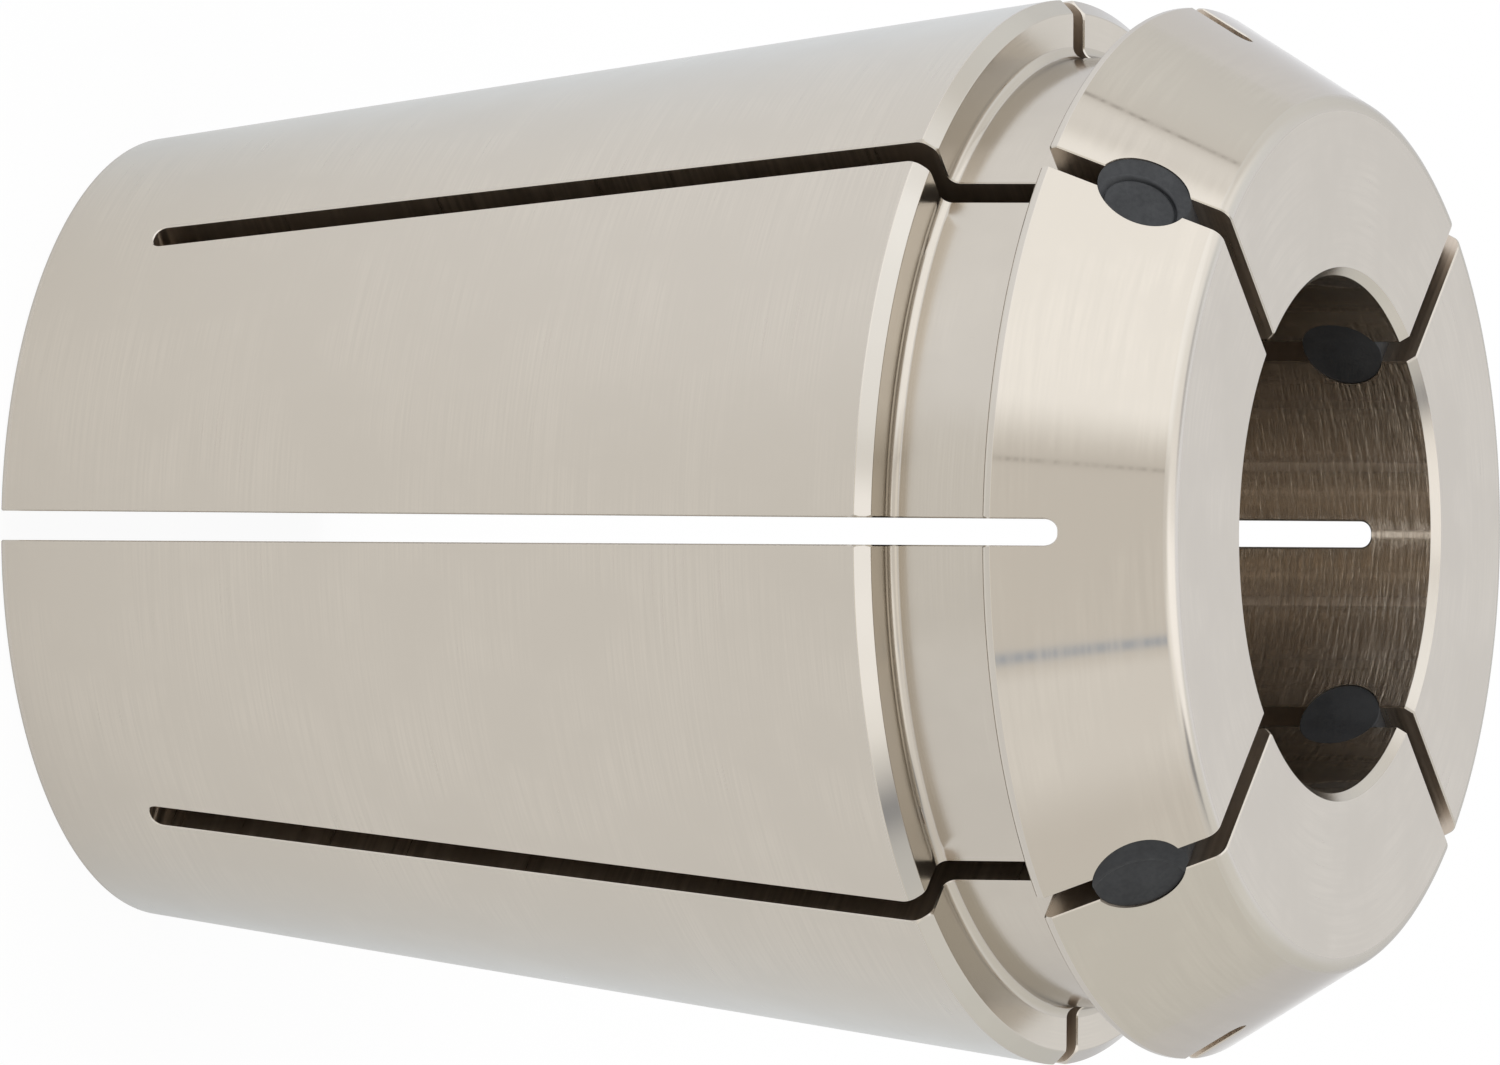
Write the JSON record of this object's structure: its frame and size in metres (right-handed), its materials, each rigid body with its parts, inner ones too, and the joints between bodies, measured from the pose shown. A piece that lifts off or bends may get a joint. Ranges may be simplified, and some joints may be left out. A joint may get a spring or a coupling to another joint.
{
  "type": "sealed tapping collet",
  "caption": "Tapered clamping collet with slots cut from both ends, a nut groove, a driving square inside and rubber plugs that seal its front slots.",
  "frame": {"origin": "centre of the rear face, on the collet's axis", "axes": "+Z along the axis from the rear face to the nose face, -Y through the middle of one rear slot"},
  "size_m": [0.033, 0.033, 0.04],
  "materials": {
    "ground_steel": "finely ground, satin",
    "seal_rubber": "matt, trimmed flush"
  },
  "bodies": {
    "root": {"collet_body": "ground_steel", "seal_plug_1": "seal_rubber", "seal_plug_2": "seal_rubber", "seal_plug_3": "seal_rubber", "seal_plug_4": "seal_rubber"}
  },
  "joints": []
}
